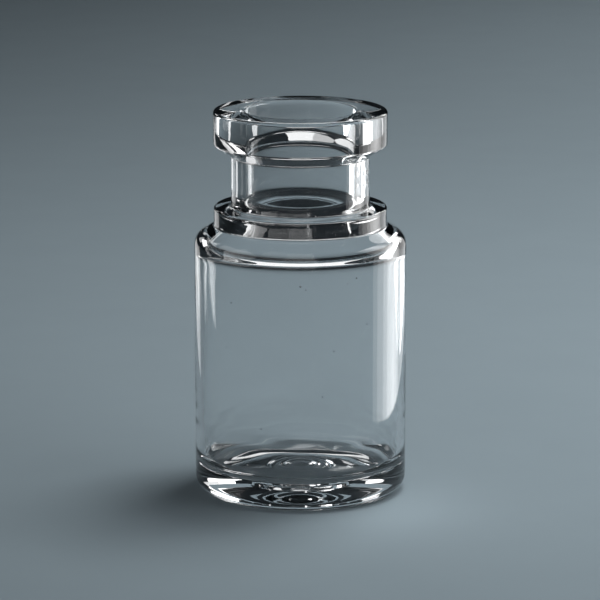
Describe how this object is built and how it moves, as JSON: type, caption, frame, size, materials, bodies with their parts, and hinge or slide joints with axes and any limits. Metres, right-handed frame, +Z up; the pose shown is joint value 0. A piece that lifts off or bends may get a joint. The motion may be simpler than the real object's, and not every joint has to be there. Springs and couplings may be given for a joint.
{
  "type": "plastic vial",
  "caption": "Clear plastic injection vial, open at the top, with a crimp flange, a short neck, a collar, a sloping shoulder and a thick pushed-up base.",
  "frame": {"origin": "centre of the standing ring, on the surface that the vial stands on", "axes": "+Z up along the vial's axis and out of its mouth; the vial is round, so X and Y are any two directions square to it"},
  "size_m": [0.0244, 0.0244, 0.0445],
  "materials": {
    "clear_plastic": "clear, polished by the mould"
  },
  "bodies": {
    "root": {"vial": "clear_plastic"}
  },
  "joints": []
}
